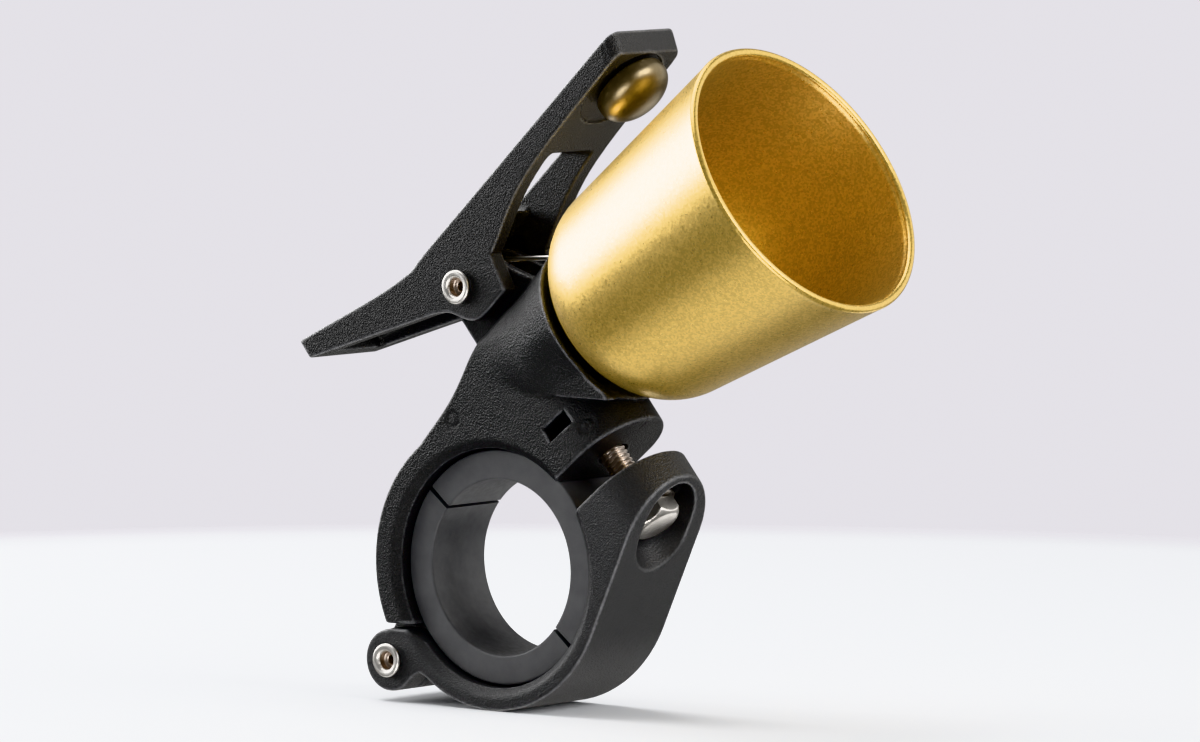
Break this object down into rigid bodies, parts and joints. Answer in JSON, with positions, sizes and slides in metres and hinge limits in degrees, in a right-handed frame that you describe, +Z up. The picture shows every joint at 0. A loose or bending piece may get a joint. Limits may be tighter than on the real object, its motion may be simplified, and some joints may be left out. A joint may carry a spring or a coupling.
{
  "type": "bicycle bell",
  "caption": "Bicycle handlebar bell: deep tapered metal cup on a moulded base with a hinged, bolted bar clamp, a sprung thumb lever and a domed brass hammer.",
  "frame": {"origin": "centre of the handlebar's bore, in the middle of the clamp's width", "axes": "+Y along the handlebar, +Z up, +X towards the side that the cup opens to"},
  "size_m": [0.0976, 0.0426, 0.098],
  "materials": {
    "gold_paint": "fine metal-flake gold paint",
    "black_nylon": "finely grained black moulding",
    "grey_nylon": "smooth dark grey moulding",
    "black_rubber": "dull",
    "zinc_steel": "zinc plated",
    "nickel_plate": "bright nickel plated",
    "polished_brass": "polished"
  },
  "bodies": {
    "base": {"base_body": "black_nylon", "shim_upper": "grey_nylon", "shim_lower": "grey_nylon", "clamp_nut": "zinc_steel", "bell_cup": "gold_paint", "bell_damping_washer": "black_rubber", "bell_inner_washer": "zinc_steel", "bell_lock_washer": "zinc_steel", "bell_insert": "polished_brass", "bell_screw": "zinc_steel", "return_spring": "zinc_steel"},
    "lever": {"striker_lever": "black_nylon", "lever_pivot_rivet": "nickel_plate", "pivot_sleeve": "zinc_steel", "hammer": "polished_brass", "hammer_washer": "zinc_steel"},
    "strap": {"clamp_strap": "black_nylon", "hinge_rivet": "nickel_plate"},
    "bolt": {"clamp_bolt": "zinc_steel", "clamp_bolt_washer": "zinc_steel"}
  },
  "joints": [
    {"name": "lever_pivot", "type": "hinge", "parent": "base", "child": "lever", "pos_m": [-0.0064, 0, 0.04005], "axis": [0, -1, 0], "range_deg": [-5.5, 28], "stiffness_Nm_per_rad": 0.15, "springref_deg": 0.34, "deforming": ["return_spring"]},
    {"name": "clamp_bolt_slide", "type": "slide", "parent": "base", "child": "bolt", "axis": [0.6388, 0, -0.7694], "range_m": [0, 0.005]},
    {"name": "strap_hinge", "type": "hinge", "parent": "base", "child": "strap", "pos_m": [-0.0187, 0, -0.0144], "axis": [0, 1, 0], "range_deg": [0, 5.6]}
  ],
  "couplings": [
    {"joint": "strap_hinge", "follows": "clamp_bolt_slide", "rad_per_m": 19.2}
  ]
}
